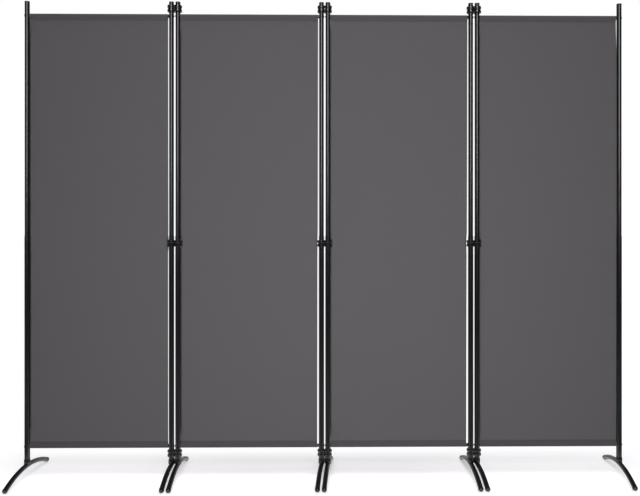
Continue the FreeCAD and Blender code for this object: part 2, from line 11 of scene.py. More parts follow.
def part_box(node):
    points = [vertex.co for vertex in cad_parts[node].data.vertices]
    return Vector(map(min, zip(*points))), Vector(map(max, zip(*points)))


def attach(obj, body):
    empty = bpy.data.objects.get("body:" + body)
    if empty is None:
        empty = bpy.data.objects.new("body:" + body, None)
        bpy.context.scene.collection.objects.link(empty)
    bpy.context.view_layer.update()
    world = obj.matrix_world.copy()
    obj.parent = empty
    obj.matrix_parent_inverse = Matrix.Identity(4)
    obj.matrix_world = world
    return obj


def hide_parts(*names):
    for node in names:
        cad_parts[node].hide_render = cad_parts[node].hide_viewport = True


bl_info = {
    "name": "Folding Screen",
    "version": (1, 0, 0),
    "blender": (4, 5, 0),
    "location": "3D View > Sidebar > Folding Screen",
    "description": "Dresses a four-panel fabric screen on steel poles and sets it in a studio",
    "category": "Object",
}

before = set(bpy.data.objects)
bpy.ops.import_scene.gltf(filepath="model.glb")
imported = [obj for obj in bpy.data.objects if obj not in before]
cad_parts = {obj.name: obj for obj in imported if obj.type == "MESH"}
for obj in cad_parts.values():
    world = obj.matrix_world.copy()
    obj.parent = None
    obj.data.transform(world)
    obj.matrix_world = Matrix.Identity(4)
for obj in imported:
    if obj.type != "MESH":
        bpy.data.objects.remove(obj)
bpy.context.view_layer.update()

PANELS = (1, 2, 3, 4)
CLIP_SETS = ("1_2", "2_3", "3_4")
FEET = range(1, 9)
PANEL_TUBES = (
    "left_lower_pole",
    "left_upper_pole",
    "right_lower_pole",
    "right_upper_pole",
    "top_rail",
    "bottom_rail",
)

# One unit of the cloth's UV map covers this many metres, so that a whole panel fits in the map
UV_SPAN = 2.0
UV_NAME = "cloth_run"

# Mark on the cloth's points: how much painted shade they take where the cloth is doubled and lets
# less light through
PAINTED_SHADE_MARK = "doubled"


class CoatSettings(bpy.types.PropertyGroup):
    """Powder coat on the steel tubes."""

    colour: FloatVectorProperty(
        name="Colour", description="Powder coat of the poles, rails and feet",
        subtype="COLOR", min=0.0, max=1.0, default=(0.0035, 0.0026, 0.0036),
    )
    peel: FloatProperty(
        name="Orange peel", description="Width of the fine waves in the coat",
        unit="LENGTH", min=0.0002, default=0.0015,
    )
    wear: FloatProperty(
        name="Wear", description="How much the coat is rubbed at edges",
        subtype="FACTOR", min=0.0, max=1.0, default=0.25,
    )
    dust: FloatProperty(
        name="Dust", description="How much dust lies on upward faces",
        subtype="FACTOR", min=0.0, max=1.0, default=0.012,
    )


class MouldingSettings(bpy.types.PropertyGroup):
    """Moulded plastic of the clips, caps and foot tips."""

    clip_colour: FloatVectorProperty(
        name="Clip colour", description="Plastic of the hinge clips",
        subtype="COLOR", min=0.0, max=1.0, default=(0.005, 0.004, 0.005),
    )
    cap_colour: FloatVectorProperty(
        name="Cap colour", description="Plastic of the pole caps",
        subtype="COLOR", min=0.0, max=1.0, default=(0.006, 0.005, 0.006),
    )
    tip_colour: FloatVectorProperty(
        name="Tip colour", description="Plastic of the foot tips",
        subtype="COLOR", min=0.0, max=1.0, default=(0.006, 0.005, 0.006),
    )
    grain: FloatProperty(
        name="Grain", description="Size of the mould's fine grain",
        unit="LENGTH", min=0.0001, default=0.0006,
    )


class FastenerSettings(bpy.types.PropertyGroup):
    """Screws that hold the rails, and the plugs that they go into."""

    screw_colour: FloatVectorProperty(
        name="Screw colour", description="Blackened steel of the screws",
        subtype="COLOR", min=0.0, max=1.0, default=(0.03, 0.03, 0.031),
    )
    insert_colour: FloatVectorProperty(
        name="Insert colour", description="Zinc on the threaded plugs",
        subtype="COLOR", min=0.0, max=1.0, default=(0.45, 0.45, 0.46),
    )
    shank: FloatProperty(
        name="Shank radius", description="Screw's thread, at the crest",
        unit="LENGTH", min=0.001, default=0.00245,
    )
    thread_pitch: FloatProperty(
        name="Thread pitch", description="From one turn of the screw's thread to the next",
        unit="LENGTH", min=0.0003, default=0.0008,
    )
    thread_depth: FloatProperty(
        name="Thread depth", description="Crest to root of the screw's thread",
        unit="LENGTH", min=0.0, default=0.0004,
    )
    recess_width: FloatProperty(
        name="Recess width", description="Width of each arm of the cross in the head",
        unit="LENGTH", min=0.0002, default=0.0011,
    )
    recess_reach: FloatProperty(
        name="Recess reach", description="Length of each arm of the cross, from the middle",
        unit="LENGTH", min=0.0005, default=0.0024,
    )
    recess_depth: FloatProperty(
        name="Recess depth", description="Depth of the cross in the head",
        unit="LENGTH", min=0.0, default=0.0012,
    )


class ClothSettings(bpy.types.PropertyGroup):
    """The cloth of each panel, with a sleeve at the top and at the bottom."""

    colour: FloatVectorProperty(
        name="Colour", description="Dyed yarn",
        subtype="COLOR", min=0.0, max=1.0, default=(0.113, 0.106, 0.113),
    )
    # Painted shade: doubled cloth lets less light through than single cloth
    painted_doubled_shade: FloatProperty(
        name="Doubled shade", description="Brightness of doubled cloth beside single",
        subtype="FACTOR", min=0.0, max=1.0, default=0.68,
    )
    thread_pitch: FloatProperty(
        name="Thread pitch", description="From one thread of the weave to the next",
        unit="LENGTH", min=0.0002, default=0.0009,
    )
    unevenness: FloatProperty(
        name="Unevenness", description="How much the yarn's colour varies from thread to thread",
        subtype="FACTOR", min=0.0, max=1.0, default=0.10,
    )
    thickness: FloatProperty(
        name="Thickness", description="One layer of cloth",
        unit="LENGTH", min=0.0001, default=0.0008,
    )
    sleeve_clearance: FloatProperty(
        name="Sleeve clearance", description="Between a rail and the sleeve round it",
        unit="LENGTH", min=0.0, default=0.0003,
    )
    seam_depth: FloatProperty(
        name="Seam depth", description="Folded edge of the cloth to the sleeve's seam",
        unit="LENGTH", min=0.015, default=0.0205,
    )
    seam_allowance: FloatProperty(
        name="Seam allowance", description="Turned-in cloth beyond the seam",
        unit="LENGTH", min=0.001, default=0.0045,
    )
    ripple: FloatProperty(
        name="Ripple", description="How far the hanging cloth strays from flat",
        unit="LENGTH", min=0.0, default=0.0012,
    )


class SewingSettings(bpy.types.PropertyGroup):
    """Rows of stitches along the sleeves' seams."""

    colour: FloatVectorProperty(
        name="Colour", description="Sewing thread",
        subtype="COLOR", min=0.0, max=1.0, default=(0.085, 0.080, 0.085),
    )
    pitch: FloatProperty(
        name="Stitch pitch", description="From one stitch to the next",
        unit="LENGTH", min=0.001, default=0.0032,
    )
    length: FloatProperty(
        name="Stitch length", description="Thread that shows of each stitch",
        unit="LENGTH", min=0.0005, default=0.0026,
    )
    thread: FloatProperty(
        name="Thread radius", description="Radius of the sewing thread",
        unit="LENGTH", min=0.00005, default=0.00024,
    )


class StageSettings(bpy.types.PropertyGroup):
    """Floor, light and camera."""

    floor_colour: FloatVectorProperty(
        name="Floor colour", description="Plain pale floor",
        subtype="COLOR", min=0.0, max=1.0, default=(0.90, 0.86, 0.91),
    )
    front_light: FloatProperty(
        name="Front light", description="Soft light in front, above the camera",
        unit="POWER", min=0.0, default=28.4,
    )
    low_light: FloatProperty(
        name="Low light", description="Soft light in front and low, to even the cloth",
        unit="POWER", min=0.0, default=14.8,
    )
    top_light: FloatProperty(
        name="Top light", description="Large soft light high overhead",
        unit="POWER", min=0.0, default=110.0,
    )
    back_light: FloatProperty(
        name="Back light", description="Soft light behind the screen",
        unit="POWER", min=0.0, default=52.0,
    )
    gloss_light: FloatProperty(
        name="Gloss light", description="Tall soft light high in front, which gloss alone mirrors",
        unit="POWER", min=0.0, default=200.0,
    )
    room_light: FloatProperty(
        name="Room light", description="Even light from all round", min=0.0, default=0.10
    )
    floor_glow: FloatProperty(
        name="Floor glow", description="White added to the floor as it is seen",
        subtype="FACTOR", min=0.0, max=1.0, default=0.41,
    )
    camera_place: FloatVectorProperty(
        name="Camera place", description="Where the camera stands",
        subtype="TRANSLATION", unit="LENGTH", default=(-0.0464, -2.4643, 0.8908),
    )
    camera_turn: FloatProperty(
        name="Camera turn", description="Camera's heading from straight ahead",
        subtype="ANGLE", default=math.radians(-0.663),
    )
    lens: FloatProperty(
        name="Lens", description="Camera's focal length, in millimetres", min=10.0, default=36.37
    )
    camera_shift: FloatProperty(
        name="Camera shift", description="Upward shift, as a share of the width", default=-0.010
    )


FLOAT = "NodeSocketFloat"
COLOUR = "NodeSocketColor"
GREY = (0.5, 0.5, 0.5, 1.0)
WHITE = (1.0, 1.0, 1.0, 1.0)
FULL = (0.0, 1.0)


def feed(tree, socket, value):
    """Set an input, or link another node's output to it."""
    if isinstance(value, bpy.types.NodeSocket):
        tree.links.new(value, socket)
    elif socket.type == "RGBA" and len(value) == 3:
        socket.default_value = (*value, 1.0)
    else:
        socket.default_value = value


def feed_in_order(tree, node, values):
    """Feed a node's first inputs."""
    for socket, value in zip(node.inputs, values):
        feed(tree, socket, value)


def add_node(tree, kind, inputs=None, **options):
    """A new node with its options set and its inputs fed by name."""
    node = tree.nodes.new(kind)
    for name, value in options.items():
        setattr(node, name, value)
    for name, value in (inputs or {}).items():
        feed(tree, node.inputs[name], value)
    return node


def calc(tree, operation, *terms, clamp=False):
    """Result of one sum on values."""
    node = add_node(tree, "ShaderNodeMath", operation=operation, use_clamp=clamp)
    feed_in_order(tree, node, terms)
    return node.outputs["Value"]


def scaled(tree, vector, factor):
    """A vector or colour times a value."""
    inputs = {"Vector": vector, "Scale": factor}
    return add_node(tree, "ShaderNodeVectorMath", inputs, operation="SCALE").outputs["Vector"]


def axes_of(tree, vector):
    """The X, Y and Z of a vector."""
    return add_node(tree, "ShaderNodeSeparateXYZ", {"Vector": vector}).outputs


def remap(tree, value, span, target=FULL):
    """A value moved from one span to another and held inside it."""
    names = ("Value", "From Min", "From Max", "To Min", "To Max")
    inputs = dict(zip(names, (value, *span, *target)))
    return add_node(tree, "ShaderNodeMapRange", inputs).outputs["Result"]


def blend_colours(tree, share, first, second):
    """First colour where share is 0, second where it is 1."""
    node = add_node(tree, "ShaderNodeMix", {"Factor": share}, data_type="RGBA")
    colour_inputs = [socket for socket in node.inputs if socket.type == "RGBA"]
    feed(tree, colour_inputs[0], first)
    feed(tree, colour_inputs[1], second)
    return next(socket for socket in node.outputs if socket.type == "RGBA")


def cloudy(tree, scale, detail=2.0, place=None):
    """Soft noise at a number of waves a metre, over the object or over a given place."""
    if place is None:
        place = add_node(tree, "ShaderNodeTexCoord").outputs["Object"]
    inputs = {"Vector": place, "Scale": scale, "Detail": detail}
    return add_node(tree, "ShaderNodeTexNoise", inputs).outputs["Fac"]


def new_group(name, inputs, outputs):
    """An empty node group, its inputs as sockets to read and its outputs as sockets to feed."""
    group = bpy.data.node_groups.new(name, "ShaderNodeTree")
    for label, kind, default in inputs:
        socket = group.interface.new_socket(label, in_out="INPUT", socket_type=kind)
        socket.default_value = default
    for label, kind in outputs:
        group.interface.new_socket(label, in_out="OUTPUT", socket_type=kind)
    inlet = group.nodes.new("NodeGroupInput")
    outlet = group.nodes.new("NodeGroupOutput")
    return group, inlet.outputs, outlet.inputs


# Patches of gloss: detail of their noise, and the span of it that they run through
PATCH_DETAIL = 4.0
PATCH_SPAN = (0.3, 0.7)

# Rubbed edges: span of pointiness from clean to rubbed, waves a metre and detail of the noise that
# breaks them up, and the span of it from bare to full
EDGE_SPAN = (0.60, 0.72)
SCUFF_NOISE = (160.0, 3.0)
SCUFF_SPAN = (0.45, 0.62)

# Dust: span of upward slope from clean to dusty, waves a metre and detail of its drifts, the span
# of their noise, and their thinnest and thickest cover
SLOPE_SPAN = (0.35, 0.95)
DRIFT_NOISE = (45.0, 5.0)
DRIFT_SPAN = (0.35, 0.7)
DRIFT_COVER = (0.3, 1.0)
DUST_COLOUR = (0.30, 0.29, 0.27)

# Weave: rise of the upper thread at a crossing, waves a metre of the streaks in the yarn both ways,
# and the painted shade and highlight that follow its height
CROSSING_RISE = 0.6
YARN_STREAKS = ((900.0, 5.0, 1.0), (5.0, 900.0, 1.0))
WEAVE_SPAN = (0.2, 1.4)
WEAVE_PAINTED_SHADES = (0.80, 1.10)


@functools.cache
def surface_grain():
    """Fine grain of a coat or a mould, and broad patches of more and less gloss."""
    tree, given, result = new_group(
        "Surface Grain",
        [("Grain Size", FLOAT, 0.0015), ("Patch Size", FLOAT, 0.08)],
        [("Height", FLOAT), ("Patches", FLOAT)],
    )
    fine = cloudy(tree, calc(tree, "DIVIDE", 1.0, given["Grain Size"]))
    broad = cloudy(tree, calc(tree, "DIVIDE", 1.0, given["Patch Size"]), PATCH_DETAIL)
    feed(tree, result["Height"], fine)
    feed(tree, result["Patches"], remap(tree, broad, PATCH_SPAN))
    return tree


@functools.cache
def rubbed_edges():
    """Paler colour where edges are rubbed, broken up by noise."""
    tree, given, result = new_group(
        "Rubbed Edges",
        [("Colour", COLOUR, GREY), ("Rubbed Colour", COLOUR, GREY), ("Amount", FLOAT, 0.3)],
        [("Colour", COLOUR)],
    )
    sharpness = add_node(tree, "ShaderNodeNewGeometry").outputs["Pointiness"]
    edge = remap(tree, sharpness, EDGE_SPAN)
    broken = remap(tree, cloudy(tree, *SCUFF_NOISE), SCUFF_SPAN)
    rubbed = calc(tree, "MULTIPLY", calc(tree, "MULTIPLY", edge, broken), given["Amount"])
    mixed = blend_colours(tree, rubbed, given["Colour"], given["Rubbed Colour"])
    feed(tree, result["Colour"], mixed)
    return tree


@functools.cache
def settled_dust():
    """Thin dust on faces that look up."""
    tree, given, result = new_group(
        "Settled Dust",
        [("Colour", COLOUR, GREY), ("Dust Colour", COLOUR, GREY), ("Amount", FLOAT, 0.1)],
        [("Colour", COLOUR), ("Cover", FLOAT)],
    )
    facing = add_node(tree, "ShaderNodeNewGeometry").outputs["Normal"]
    lying = remap(tree, axes_of(tree, facing)["Z"], SLOPE_SPAN)
    drift = remap(tree, cloudy(tree, *DRIFT_NOISE), DRIFT_SPAN, DRIFT_COVER)
    cover = calc(tree, "MULTIPLY", calc(tree, "MULTIPLY", lying, drift), given["Amount"])
    mixed = blend_colours(tree, cover, given["Colour"], given["Dust Colour"])
    feed(tree, result["Colour"], mixed)
    feed(tree, result["Cover"], cover)
    return tree


@functools.cache
def plain_weave():
    """Over-and-under threads of a plain weave, with painted shade low and painted highlight high,
    and yarn that varies.
    """
    tree, given, result = new_group(
        "Plain Weave",
        [("Colour", COLOUR, GREY), ("Thread Pitch", FLOAT, 0.0009), ("Unevenness", FLOAT, 0.1)],
        [("Colour", COLOUR), ("Height", FLOAT)],
    )
    run = add_node(tree, "ShaderNodeUVMap", uv_map=UV_NAME).outputs["UV"]
    place = scaled(tree, run, UV_SPAN)
    threads = scaled(tree, place, calc(tree, "DIVIDE", 1.0, given["Thread Pitch"]))
    across = axes_of(tree, threads)
    warp = calc(tree, "SINE", calc(tree, "MULTIPLY", across["X"], math.pi))
    weft = calc(tree, "SINE", calc(tree, "MULTIPLY", across["Y"], math.pi))
    crossing = calc(tree, "MULTIPLY", calc(tree, "MULTIPLY", warp, weft), CROSSING_RISE)
    warp_height = calc(tree, "ADD", calc(tree, "ABSOLUTE", warp), crossing)
    weft_height = calc(tree, "SUBTRACT", calc(tree, "ABSOLUTE", weft), crossing)
    height = calc(tree, "MAXIMUM", warp_height, weft_height)

    slubs = 0.0
    for stretch in YARN_STREAKS:
        drawn = add_node(tree, "ShaderNodeVectorMath", operation="MULTIPLY")
        feed_in_order(tree, drawn, (place, stretch))
        streak = cloudy(tree, 1.0, place=drawn.outputs["Vector"])
        slubs = calc(tree, "ADD", slubs, calc(tree, "SUBTRACT", streak, 0.5))
    varied = calc(tree, "MULTIPLY_ADD", slubs, given["Unevenness"], 1.0)
    # The yarn's streaks, times painted shade where the threads lie low and painted highlight where
    # they ride high
    shade = calc(tree, "MULTIPLY", varied, remap(tree, height, WEAVE_SPAN, WEAVE_PAINTED_SHADES))
    feed(tree, result["Colour"], scaled(tree, given["Colour"], shade))
    feed(tree, result["Height"], height)
    return tree


def place_group(tree, group, inputs):
    """Outputs of a node group that is placed in a material with its own values."""
    return add_node(tree, "ShaderNodeGroup", inputs, node_tree=group).outputs


def new_material(name, **constants):
    """A material with a Principled shader; constants go to the shader's own sockets."""
    material = bpy.data.materials.new(name)
    material.use_nodes = True
    tree = material.node_tree
    shader = tree.nodes["Principled BSDF"]
    for socket, value in constants.items():
        shader.inputs[socket.replace("_", " ")].default_value = value
    return material, tree, shader.inputs


def raise_height(tree, height, strength, distance):
    """Normal of a surface raised by a height."""
    inputs = {"Height": height, "Strength": strength, "Distance": distance}
    return add_node(tree, "ShaderNodeBump", inputs).outputs["Normal"]


def hard_finish(name, colour, rubbed, wear, grain, rough, bump, dust=0.0, dulling=0.0, **constants):
    """A coat, moulding or metal: grain, patches of gloss, rubbed edges and dust if it has any.

    rubbed is the edges' colour, grain the sizes of grain and patches, rough the roughness of the
    glossiest and dullest patch, bump the grain's strength and depth, and dulling what dust adds to
    the roughness.
    """
    material, tree, shader = new_material(name, **constants)
    grain = place_group(tree, surface_grain(), dict(zip(("Grain Size", "Patch Size"), grain)))
    edges = {"Colour": colour, "Rubbed Colour": rubbed, "Amount": wear}
    shown = place_group(tree, rubbed_edges(), edges)["Colour"]
    rough = remap(tree, grain["Patches"], FULL, rough)
    if dust:
        laid = {"Colour": shown, "Dust Colour": DUST_COLOUR, "Amount": dust}
        dusty = place_group(tree, settled_dust(), laid)
        shown = dusty["Colour"]
        rough = calc(tree, "MULTIPLY_ADD", dusty["Cover"], dulling, rough)
    feed(tree, shader["Base Color"], shown)
    feed(tree, shader["Roughness"], rough)
    feed(tree, shader["Normal"], raise_height(tree, grain["Height"], *bump))
    return material


def coat_finish(settings):
    """Black powder coat with a fine orange peel, rubbed at edges and dusty on top."""
    return hard_finish(
        "powder_coat", settings.colour, rubbed=(0.09, 0.09, 0.092), wear=settings.wear,
        grain=(settings.peel, 0.09), rough=(0.225, 0.245), bump=(0.12, 0.0003),
        dust=settings.dust, dulling=0.8, Specular_IOR_Level=0.7,
    )


def moulded_finish(name, colour, grain_size, rough):
    """Moulded plastic with the mould's fine grain, scuffed at edges."""
    return hard_finish(
        name, colour, rubbed=(0.06, 0.06, 0.06), wear=0.3,
        grain=(grain_size, 0.03), rough=rough, bump=(0.2, 0.0002),
        dust=0.012, Specular_IOR_Level=0.8,
    )


def screw_finish(colour):
    """Blackened steel, brighter where a driver has rubbed it."""
    return hard_finish(
        "blackened_steel", colour, rubbed=(0.20, 0.20, 0.20), wear=0.5,
        grain=(0.0004, 0.004), rough=(0.30, 0.45), bump=(0.15, 0.0001), Metallic=0.6,
    )


def zinc_finish(colour):
    """Zinc plate with dull and bright patches."""
    return hard_finish(
        "zinc_plate", colour, rubbed=(0.62, 0.62, 0.63), wear=0.6,
        grain=(0.0005, 0.006), rough=(0.28, 0.42), bump=(0.15, 0.0001), Metallic=1.0,
    )


# Strength and depth of the bump that the weave and the sewing thread's twist make
WEAVE_BUMP = (0.35, 0.0002)
TWIST_BUMP = (0.3, 0.0001)

# Sewing thread: sizes of its twist and of its darker and lighter stretches, and their shades
TWIST_SIZES = {"Grain Size": 0.0003, "Patch Size": 0.02}
STRETCH_SHADES = (0.9, 1.1)


def cloth_finish(settings):
    """Plain woven cloth, with painted shade where it is doubled: less light comes through there."""
    material, tree, shader = new_material(
        "woven_cloth", Roughness=0.88, Specular_IOR_Level=0.22,
        Sheen_Weight=0.06, Sheen_Roughness=0.5,
    )
    woven = {
        "Colour": settings.colour,
        "Thread Pitch": settings.thread_pitch,
        "Unevenness": settings.unevenness,
    }
    weave = place_group(tree, plain_weave(), woven)
    # Painted shade where the cloth is doubled, for the light that single cloth lets through
    doubled = add_node(tree, "ShaderNodeAttribute", attribute_name=PAINTED_SHADE_MARK).outputs["Fac"]
    shade = remap(tree, doubled, FULL, (1.0, settings.painted_doubled_shade))
    feed(tree, shader["Base Color"], scaled(tree, weave["Colour"], shade))
    feed(tree, shader["Normal"], raise_height(tree, weave["Height"], *WEAVE_BUMP))
    return material


def thread_finish(settings):
    """Twisted sewing thread."""
    material, tree, shader = new_material("sewing_thread", Roughness=0.7)
    twist = place_group(tree, surface_grain(), TWIST_SIZES)
    shade = remap(tree, twist["Patches"], FULL, STRETCH_SHADES)
    feed(tree, shader["Base Color"], scaled(tree, (*settings.colour,), shade))
    feed(tree, shader["Normal"], raise_height(tree, twist["Height"], *TWIST_BUMP))
    return material


def finish_node(name, material):
    """Give a CAD node its finish."""
    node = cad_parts[name]
    if not node.material_slots:
        node.data.materials.append(material)
    for slot in node.material_slots:
        slot.material = material


def new_object(name, data):
    """A new object in the scene."""
    made = bpy.data.objects.new(name, data)
    bpy.context.scene.collection.objects.link(made)
    return made


def mesh_object(name, vertices, faces, material):
    """A new object with a smooth mesh of one material."""
    mesh = bpy.data.meshes.new(name)
    mesh.from_pydata(vertices, [], faces)
    mesh.shade_smooth()
    mesh.materials.append(material)
    return new_object(name, mesh)


def new_piece(panel, kind, vertices, faces, material, slot):
    """A piece that rides on one of the panels."""
    piece = mesh_object(f"panel_{panel}_{kind}", vertices, faces, material)
    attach(piece, f"panel_{panel}")
    return piece


def smooth_step(share):
    """Eased way from 0 to 1."""
    held = min(max(share, 0.0), 1.0)
    return held * held * (3.0 - 2.0 * held)


def around(count):
    """Angles of a number of points round a circle."""
    return [2 * math.pi * k / count for k in range(count)]


@functools.cache
def rail_place(panel, name):
    """Height and radius of a panel's rail."""
    low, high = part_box(f"panel_{panel}_{name}")
    return (low.z + high.z) / 2, (high.z - low.z) / 2


@functools.cache
def pole_place(panel, name):
    """Position along the screen, and radius, of one of a panel's tubes."""
    low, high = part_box(f"panel_{panel}_{name}")
    return (low.x + high.x) / 2, (high.x - low.x) / 2


@functools.cache
def pole_joint(panel):
    """Height at which a panel's lower poles end and its thinner upper poles go on."""
    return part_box(f"panel_{panel}_left_lower_pole")[1].z


# Screw: points round it, rings in its head, the rim's height as a share of the head's, and the
# shares of the rim's height and the head's radius where the edge between them is broken
SCREW_SIDES = 40
HEAD_RINGS = 20
HEAD_RIM = 0.36
RIM_BREAK = 0.8
HEAD_BREAK = 0.97

# Cross in its head: width of the arms' sloping sides as a share of their half width, and how much
# shallower the arms get towards their ends
RECESS_SLOPE = 0.4
RECESS_TAPER = 0.4

# Its point: length, and radius at the end as a share of the shank's
POINT_LENGTH = 0.001
POINT_SHARE = 0.5


def head_height(settings, across, up, reach, thick):
    """Height of a domed screw head over its seat, with a cross sunk in it."""
    radius = math.hypot(across, up)
    rim = HEAD_RIM * thick
    dome = rim + (thick - rim) * (1.0 - (radius / reach) ** 2)
    half = settings.recess_width / 2
    sink = 0.0
    for along, aside in ((across, up), (up, across)):
        in_width = 1.0 - smooth_step((abs(aside) - half) / (RECESS_SLOPE * half))
        in_length = 1.0 - smooth_step((abs(along) - settings.recess_reach) / half)
        sink = max(sink, in_width * in_length)
    taper = 1.0 - RECESS_TAPER * min(radius / settings.recess_reach, 1.0)
    return dome - sink * taper * settings.recess_depth


def screw_rings(settings, reach, thick, length):
    """A screw as rings of (way out from its seat, way aside, way up), from its head to its point.

    reach is the head's radius, and thick its thickness.
    """
    turns = around(SCREW_SIDES)
    rings = []
    for step in range(1, HEAD_RINGS + 1):
        radius = HEAD_BREAK * reach * step / HEAD_RINGS
        ring = []
        for turn in turns:
            aside, up = radius * math.cos(turn), radius * math.sin(turn)
            ring.append((head_height(settings, aside, up, reach, thick), aside, up))
        rings.append(ring)
    crest, root = settings.shank, settings.shank - settings.thread_depth
    profile = [(RIM_BREAK * (HEAD_RIM * thick), reach), (0.0, reach), (0.0, crest)]
    way = settings.thread_pitch
    while way < length - 2 * settings.thread_pitch:
        profile += [(-way, crest), (-way - settings.thread_pitch / 2, root)]
        way += settings.thread_pitch
    profile += [(POINT_LENGTH - length, root), (-length, POINT_SHARE * crest)]
    for out, radius in profile:
        rings.append([(out, radius * math.cos(turn), radius * math.sin(turn)) for turn in turns])
    return rings


def loft(vertices, faces, rings, first, last):
    """Add closed rings joined by faces, with a point before the first and one after the last."""
    start = len(vertices)
    sides = len(rings[0])
    for ring in rings:
        vertices.extend(ring)
    for row in range(len(rings) - 1):
        here, there = start + row * sides, start + (row + 1) * sides
        for k in range(sides):
            after = (k + 1) % sides
            faces.append((here + k, there + k, there + after, here + after))
    front, back = len(vertices), len(vertices) + 1
    vertices.extend((first, last))
    ending = start + (len(rings) - 1) * sides
    for k in range(sides):
        after = (k + 1) % sides
        faces.append((front, start + k, start + after))
        faces.append((back, ending + after, ending + k))


def screw_mesh(settings, panel):
    """The four screws of a panel, each with its head against the outside of a pole."""
    node = f"panel_{panel}_rail_screws"
    low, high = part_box(node)
    middle = (low.x + high.x) / 2
    inner = max(v.co.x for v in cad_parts[node].data.vertices if v.co.x < middle)
    left_pole, left_radius = pole_place(panel, "left_lower_pole")
    reach = high.z - rail_place(panel, "top_rail")[0]
    thick = left_pole - low.x - left_radius
    top = head_height(settings, 0.0, 0.0, reach, thick)
    vertices, faces = [], []
    for rail, tubes in (("bottom_rail", "lower_pole"), ("top_rail", "upper_pole")):
        height = rail_place(panel, rail)[0]
        for side, outward in (("left", -1), ("right", 1)):
            pole, radius = pole_place(panel, f"{side}_{tubes}")
            seat = pole + outward * radius
            length = inner - (left_pole - radius)
            placed = [
                [(seat + outward * out, outward * aside, height + up) for out, aside, up in ring]
                for ring in screw_rings(settings, reach, thick, length)
            ]
            first = (seat + outward * top, 0.0, height)
            last = (seat - outward * length, 0.0, height)
            loft(vertices, faces, placed, first, last)
    return vertices, faces


# Way between the cloth's points, and the shorter way within a reach of its edges, seams and clips
COARSE_STEP = 0.012
FINE_STEP = 0.002
FINE_REACH = 0.024

# Air between the cloth and the poles, and between the cloth and the clips
POLE_AIR = 0.0003
CLIP_AIR = 0.0004

# The cloth bends back beside its left pole, and behind the clips half-way up: width of the bend,
# how near its left edge comes to the pole's axis, in radii, and how far from a sleeve it is free to
BEND_WIDTH = 0.009
TUCK = 0.6
TUCK_FADE = 0.10

# Way above and below a clip in which the cloth comes back from behind it, and its edge comes in
CLIP_FADE = 0.025
CLIP_STEP = 0.003

# Gap between each panel's right pole and its cloth, at the top and at the bottom
RIGHT_GAPS = {
    1: (0.0038, 0.0026),
    2: (0.0038, 0.0064),
    3: (0.0036, 0.0072),
    4: (POLE_AIR, POLE_AIR),
}

# The last panel's cloth is drawn in at its upper right corner: by how much, and over which share of
# its height
CORNER_PULL = 0.003
CORNER_SHARE = 0.1

# How much painted shade the doubled cloth of each sleeve shows: more light comes through the upper
# one
UPPER_PAINTED_SHADE = 0.56
LOWER_PAINTED_SHADE = 1.0

# Sleeve: steps round the rail, along each flank and along the turned-in edge, and the way between
# the middles of its two layers, in thicknesses of cloth
ARC_STEPS = 18
FLANK_STEPS = 4
EDGE_STEPS = 3
LAYER_WAY = 1.05

# Ripple: share, waves a metre along and up, and shift from panel to panel of its two noises, and
# the power by which it grows from the sleeves
RIPPLES = ((1.0, 4.2, 1.9, 7.3), (0.5, 11.0, 3.1, 3.1))
SLACK_POWER = 0.8


@functools.cache
def middle_clip():
    """Reach from a pole's axis, middle height and half height of a clip half-way up the poles."""
    node = "hinge_clips_1_2"
    low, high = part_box(node)
    third = (high.z - low.z) / 3
    points = [v.co.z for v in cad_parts[node].data.vertices]
    heights = [z for z in points if low.z + third < z < high.z - third]
    reach = high.x - pole_place(2, "left_lower_pole")[0]
    return reach, (max(heights) + min(heights)) / 2, (max(heights) - min(heights)) / 2


def steps_between(start, end, fine_at):
    """Places from start to end, closer together near the places in fine_at."""
    count = round(abs(end - start) / COARSE_STEP)
    places = [start + (end - start) * k / count for k in range(count + 1)]
    reach = round(FINE_REACH / FINE_STEP)
    for middle in fine_at:
        places.extend(middle + k * FINE_STEP for k in range(-reach, reach + 1))
    low, high = min(start, end), max(start, end)
    kept = [low]
    for place in sorted(places):
        if place - kept[-1] > 0.5 * FINE_STEP and high - place > 0.5 * FINE_STEP:
            kept.append(place)
    kept.append(high)
    return kept if end > start else kept[::-1]


def sleeve_run(settings, height, radius, up):
    """Cloth from its turned-in edge round a rail to the seam, as (y, z) points, and the seam.

    up is 1 where the sleeve points up and -1 where it points down.
    """
    wrap = radius + settings.sleeve_clearance + settings.thickness / 2
    drop = settings.seam_depth - wrap - settings.thickness / 2
    seam = height - up * drop
    behind = LAYER_WAY * settings.thickness
    touch = math.acos(wrap / drop)
    turns = [touch + (2 * math.pi - 2 * touch) * k / ARC_STEPS for k in range(ARC_STEPS + 1)]
    arc = [(wrap * math.sin(turn), height - up * wrap * math.cos(turn)) for turn in turns]
    run = []
    for k in range(EDGE_STEPS, -1, -1):
        run.append((behind, seam - up * settings.seam_allowance * k / EDGE_STEPS))
    flank = [k / FLANK_STEPS for k in range(1, FLANK_STEPS)]
    for share in flank:
        run.append((behind + share * (arc[0][0] - behind), seam + share * (arc[0][1] - seam)))
    run.extend(arc)
    for share in reversed(flank):
        run.append((share * arc[-1][0], seam + share * (arc[-1][1] - seam)))
    return run, seam


def tube_radius(panel, height):
    """Radius of a panel's poles at a height."""
    above = smooth_step((height - pole_joint(panel)) / COARSE_STEP)
    lower = pole_place(panel, "left_lower_pole")[1]
    upper = pole_place(panel, "left_upper_pole")[1]
    return lower + above * (upper - lower)


def clip_hold(height, fade):
    """1 at the height of the clips half-way up the poles, falling to 0 above and below them."""
    middle, half = middle_clip()[1:]
    return 1.0 - smooth_step((abs(height - middle) - half - 2 * CLIP_AIR) / fade)


